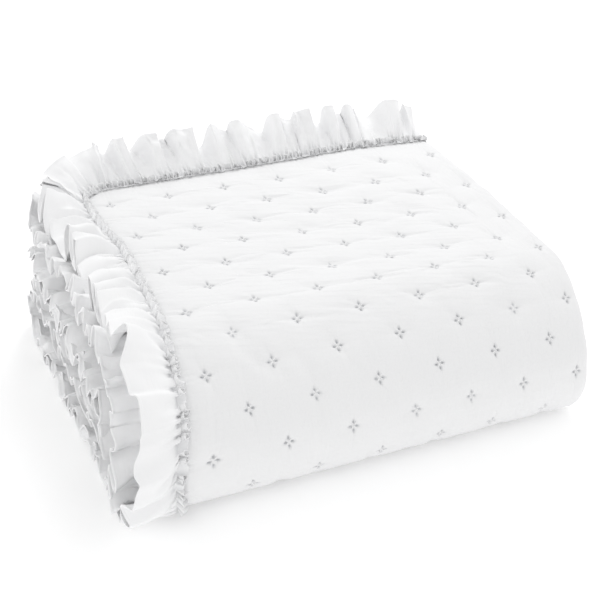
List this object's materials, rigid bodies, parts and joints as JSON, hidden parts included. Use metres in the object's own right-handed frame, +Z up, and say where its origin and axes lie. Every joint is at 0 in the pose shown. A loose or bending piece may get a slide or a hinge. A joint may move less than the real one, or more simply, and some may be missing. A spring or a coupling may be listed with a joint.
{
  "type": "folded quilted bedspread with gathered ruffle, white microfibre",
  "caption": "Folded quilted bedspread in sixteen soft layers, with small tufts over its face and a gathered ruffle round its edges",
  "frame": {"origin": "on the underside, under the middle of the folded panel", "axes": "+Z up, +X from the ruffled end towards the far folded end, +Y from the rounded front fold towards the foot edge at the back"},
  "size_m": [0.6998, 0.62, 0.2735],
  "materials": {
    "quilted_cloth": "soft brushed white microfibre, quilted over a thin filling, fine crinkles, matt",
    "ruffle_cloth": "thin plain-woven white cloth, slightly sheer, crisp gathered pleats, matt"
  },
  "bodies": {
    "root": {"quilted_panel": "quilted_cloth", "near_side_ruffle": "ruffle_cloth", "foot_ruffle": "ruffle_cloth", "far_side_ruffle": "ruffle_cloth"}
  },
  "joints": []
}
